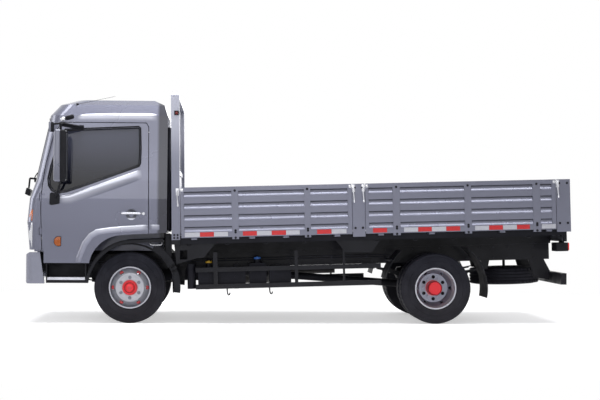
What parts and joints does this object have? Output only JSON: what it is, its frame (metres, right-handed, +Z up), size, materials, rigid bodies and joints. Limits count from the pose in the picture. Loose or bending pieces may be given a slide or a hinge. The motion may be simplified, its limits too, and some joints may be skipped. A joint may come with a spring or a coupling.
{
  "type": "flatbed truck",
  "caption": "Light flatbed truck with a tilting cab, opening doors, folding corrugated side and tail boards, steered front wheels and twin rear wheels that roll.",
  "frame": {"origin": "on the ground, under the middle of the truck's overall box", "axes": "+X to the rear, +Y to the truck's right, +Z up"},
  "size_m": [6.1881, 2.5, 2.5296],
  "materials": {
    "paint": "satin",
    "bed_paint": "satin",
    "frame_black": "matt",
    "dark_grey": "satin",
    "tyre": "matt",
    "rim_silver": "satin",
    "rim_dark": "satin",
    "glass": "clear",
    "lamp": "clear lens",
    "tail_red": "lens",
    "trim_black": "grained",
    "interior": "grained",
    "cloth": "woven",
    "mirror_shell": "moulded",
    "tank_steel": "satin",
    "cast": "raw casting",
    "silencer_steel": "heat-dulled"
  },
  "bodies": {
    "chassis": {"chassis_frame": "frame_black", "front_axle": "frame_black", "leaf_springs": "frame_black", "rear_axle": "frame_black", "engine_block": "cast", "bumper": "paint", "air_intake": "trim_black", "bed_floor": "frame_black", "bed_bearers": "frame_black", "headboard": "dark_grey", "bed_posts": "dark_grey", "side_guards": "dark_grey", "mudguards": "trim_black", "fuel_tank": "tank_steel", "side_tanks": "tank_steel", "silencer": "silencer_steel", "spare_wheel": "tyre", "spare_carrier": "frame_black", "underrun_bar": "dark_grey", "tail_lamps": "tail_red"},
    "cab": {"cab_shell": "paint", "cab_glass": "glass", "headlamps": "lamp", "grille": "trim_black", "steps_and_arches": "trim_black", "dashboard": "interior", "seats": "cloth", "kerb_mirror": "mirror_shell"},
    "driver_wheel": {"steering_wheel": "interior"},
    "track_rod": {"tie_rod": "frame_black"},
    "tail_board": {"tailgate": "bed_paint"},
    "door_left": {"door_left": "paint", "door_glass_left": "glass", "mirror_left": "mirror_shell"},
    "knuckle_left": {"steering_knuckle_left": "cast"},
    "front_wheel_left": {"front_tyre_left": "tyre", "front_rim_left": "rim_silver"},
    "rear_wheels_left": {"rear_tyres_left": "tyre", "rear_rims_left": "rim_dark"},
    "front_board_left": {"front_gate_left": "bed_paint"},
    "rear_board_left": {"rear_gate_left": "bed_paint"},
    "door_right": {"door_right": "paint", "door_glass_right": "glass", "mirror_right": "mirror_shell"},
    "knuckle_right": {"steering_knuckle_right": "cast"},
    "front_wheel_right": {"front_tyre_right": "tyre", "front_rim_right": "rim_silver"},
    "rear_wheels_right": {"rear_tyres_right": "tyre", "rear_rims_right": "rim_dark"},
    "front_board_right": {"front_gate_right": "bed_paint"},
    "rear_board_right": {"rear_gate_right": "bed_paint"}
  },
  "joints": [
    {"name": "cab_tilt", "type": "hinge", "parent": "chassis", "child": "cab", "pos_m": [-2.8225, 0, 0.8], "axis": [0, -1, 0], "range_deg": [0, 45]},
    {"name": "steer_left", "type": "hinge", "parent": "chassis", "child": "knuckle_left", "pos_m": [-1.7505, -0.705, 0.39], "axis": [0, 0, 1], "range_deg": [-35, 35]},
    {"name": "steer_right", "type": "hinge", "parent": "chassis", "child": "knuckle_right", "pos_m": [-1.7505, 0.705, 0.39], "axis": [0, 0, 1], "range_deg": [-35, 35]},
    {"name": "track_rod_swing", "type": "hinge", "parent": "knuckle_left", "child": "track_rod", "pos_m": [-1.5805, -0.705, 0.285], "axis": [0, 0, 1], "range_deg": [-35, 35]},
    {"name": "steering_turn", "type": "hinge", "parent": "cab", "child": "driver_wheel", "pos_m": [-2.3105, -0.61, 1.46], "axis": [0.722, 0, 0.6919], "range_deg": [-630, 630]},
    {"name": "tailgate_fold", "type": "hinge", "parent": "chassis", "child": "tail_board", "pos_m": [3.08493, 0, 1.04536], "axis": [0, 1, 0], "range_deg": [0, 175]},
    {"name": "door_left_swing", "type": "hinge", "parent": "cab", "child": "door_left", "pos_m": [-2.7165, -0.97, 1.165], "axis": [0, 0, -1], "range_deg": [0, 70]},
    {"name": "front_spin_left", "type": "hinge", "parent": "knuckle_left", "child": "front_wheel_left", "pos_m": [-1.7505, -0.825, 0.39], "axis": [0, 1, 0], "continuous": true},
    {"name": "rear_spin_left", "type": "hinge", "parent": "chassis", "child": "rear_wheels_left", "pos_m": [1.6095, -0.852, 0.39], "axis": [0, 1, 0], "continuous": true},
    {"name": "front_gate_left_fold", "type": "hinge", "parent": "chassis", "child": "front_board_left", "pos_m": [-0.25714, -1.034, 0.94734], "axis": [0.9996, 0, 0.0293], "range_deg": [0, 175]},
    {"name": "rear_gate_left_fold", "type": "hinge", "parent": "chassis", "child": "rear_board_left", "pos_m": [1.87645, -1.034, 1.00992], "axis": [0.9996, 0, 0.0293], "range_deg": [0, 175]},
    {"name": "door_right_swing", "type": "hinge", "parent": "cab", "child": "door_right", "pos_m": [-2.7165, 0.97, 1.165], "axis": [0, 0, 1], "range_deg": [0, 70]},
    {"name": "front_spin_right", "type": "hinge", "parent": "knuckle_right", "child": "front_wheel_right", "pos_m": [-1.7505, 0.825, 0.39], "axis": [0, 1, 0], "continuous": true},
    {"name": "rear_spin_right", "type": "hinge", "parent": "chassis", "child": "rear_wheels_right", "pos_m": [1.6095, 0.852, 0.39], "axis": [0, 1, 0], "continuous": true},
    {"name": "front_gate_right_fold", "type": "hinge", "parent": "chassis", "child": "front_board_right", "pos_m": [-0.25714, 1.034, 0.94734], "axis": [-0.9996, 0, -0.0293], "range_deg": [0, 175]},
    {"name": "rear_gate_right_fold", "type": "hinge", "parent": "chassis", "child": "rear_board_right", "pos_m": [1.87645, 1.034, 1.00992], "axis": [-0.9996, 0, -0.0293], "range_deg": [0, 175]}
  ],
  "couplings": [
    {"joint": "steer_right", "follows": "steer_left", "ratio": 1},
    {"joint": "track_rod_swing", "follows": "steer_left", "ratio": -1},
    {"joint": "steering_turn", "follows": "steer_left", "ratio": 18}
  ]
}
